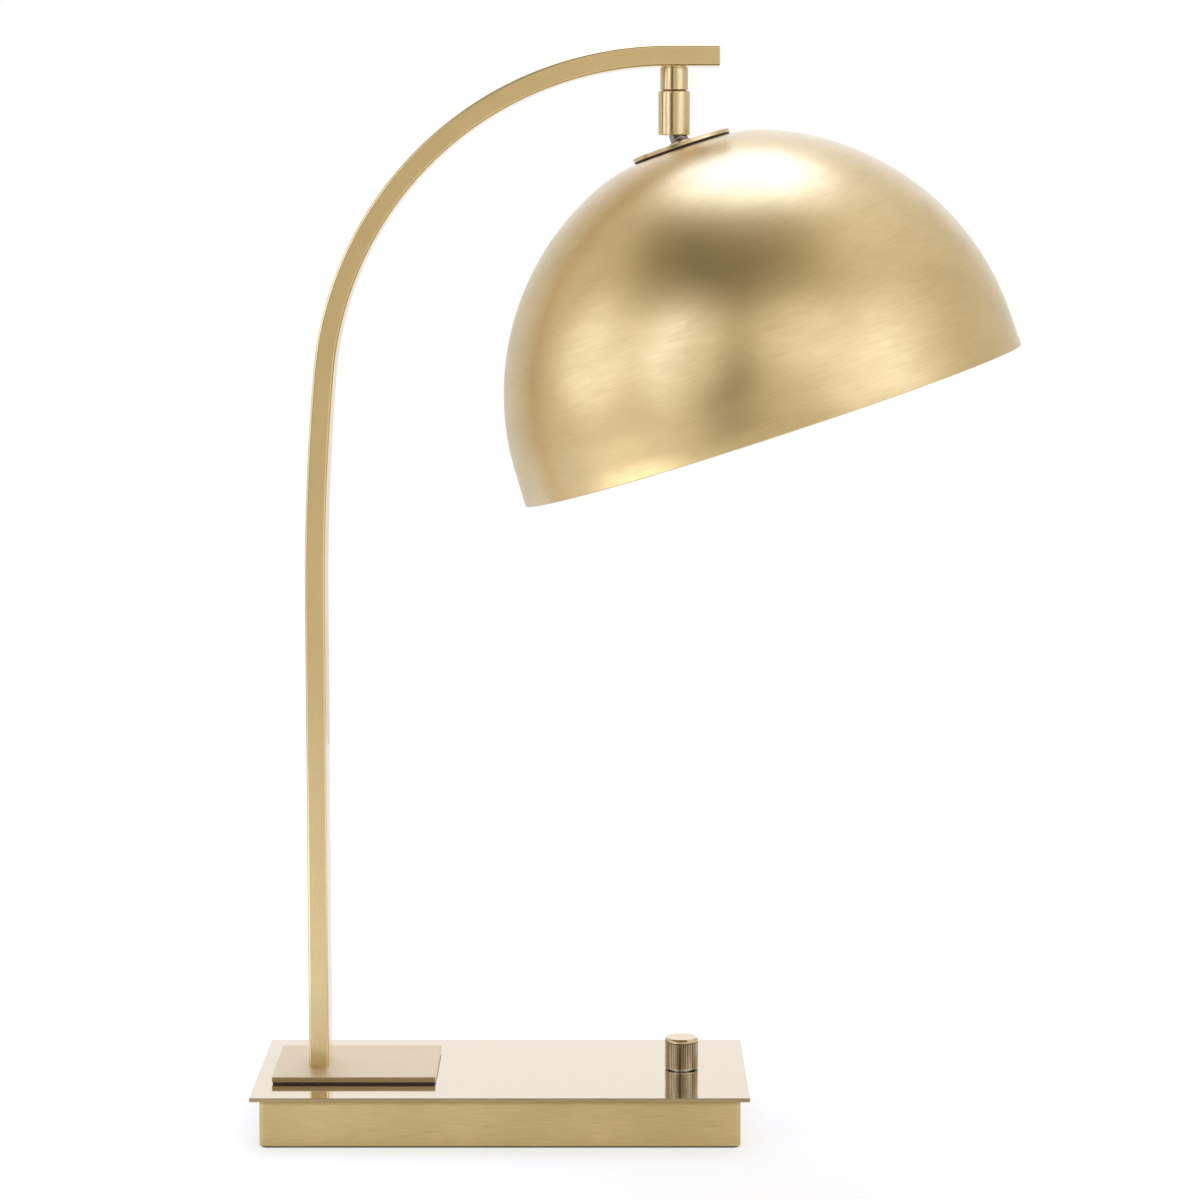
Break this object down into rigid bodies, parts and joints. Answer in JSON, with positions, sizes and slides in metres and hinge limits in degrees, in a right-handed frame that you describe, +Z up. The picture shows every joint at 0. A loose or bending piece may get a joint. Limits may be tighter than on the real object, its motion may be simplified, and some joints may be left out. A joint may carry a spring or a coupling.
{
  "type": "desk lamp",
  "caption": "Desk lamp with a weighted box base and dimmer knob, a bent flat-tube arm and a spun dome shade that turns and tilts on a ball swivel.",
  "frame": {"origin": "centre of the base's underside, on the surface that the lamp stands on", "axes": "+Z up, +X along the base from the arm towards the knob, +Y to the back, where the cord enters"},
  "size_m": [0.3923, 0.2659, 0.557],
  "materials": {
    "brushed_brass": "fine horizontal brushing, lacquered satin",
    "satin_brass_plate": "satin with a fine lengthwise brushing",
    "arm_brass": "brushed along the arm, bright edges",
    "swivel_brass": "turned, satin",
    "shade_brass": "spun, fine brushing round the dome, light patina",
    "aged_brass": "aged, polished head",
    "plain_brass": "turned, plain",
    "zinc_steel": "zinc plated",
    "bulb_cap_metal": "pressed sheet",
    "gunmetal": "blackened, satin",
    "iron": "cast, painted black",
    "black_rubber": "matt",
    "black_plastic": "moulded, matt",
    "white_plastic": "moulded, matt",
    "felt": "pressed wool felt",
    "bulb_glass": "frosted"
  },
  "bodies": {
    "base": {"base_box": "brushed_brass", "top_plate": "satin_brass_plate", "bottom_cover": "zinc_steel", "cover_blocks": "plain_brass", "cover_screws": "zinc_steel", "felt_pad": "felt", "counterweight": "iron", "weight_screws": "zinc_steel", "cord_bushing": "black_plastic", "bushing_nut": "black_plastic", "terminal_block": "white_plastic", "inner_leads": "white_plastic", "dimmer_body": "black_plastic", "dimmer_washer": "zinc_steel", "dimmer_nut": "zinc_steel", "foot_gasket": "black_rubber", "foot_plate": "satin_brass_plate", "foot_screws": "zinc_steel", "arm_screws": "zinc_steel", "arm_insert": "plain_brass", "arm_tube": "arm_brass", "arm_flex": "black_rubber", "arm_end_cap": "arm_brass", "swivel_collar": "swivel_brass", "swivel_nipple": "zinc_steel", "nipple_nut": "zinc_steel", "friction_washer": "black_plastic"},
    "knob": {"dimmer_knob": "aged_brass", "dimmer_shaft": "zinc_steel"},
    "swivel": {"swivel_housing": "swivel_brass", "housing_cap": "plain_brass", "ball_seat": "white_plastic", "seat_spring": "zinc_steel"},
    "shade_body": {"swivel_ball": "gunmetal", "stem_ring": "swivel_brass", "crown_plate": "swivel_brass", "crown_gasket": "black_rubber", "shade": "shade_brass", "crown_washer": "zinc_steel", "crown_nut": "zinc_steel", "holder_cap": "plain_brass", "holder_shell": "plain_brass", "holder_insulator": "white_plastic", "screw_shell": "zinc_steel", "centre_contact": "plain_brass", "holder_flex": "black_rubber", "bulb_cap": "bulb_cap_metal", "bulb_glass": "bulb_glass"}
  },
  "joints": [
    {"name": "knob_turn", "type": "hinge", "parent": "base", "child": "knob", "pos_m": [0.0936, 0, 0.0276], "axis": [0, 0, 1], "range_deg": [-280, 0]},
    {"name": "swivel_turn", "type": "hinge", "parent": "base", "child": "swivel", "pos_m": [0.0886, 0, 0.5346], "axis": [0, 0, 1], "range_deg": [-135, 145]},
    {"name": "shade_tilt", "type": "hinge", "parent": "swivel", "child": "shade_body", "pos_m": [0.0886, 0, 0.518], "axis": [0.0941, 0.9956, 0], "range_deg": [-2.5, 33]}
  ]
}
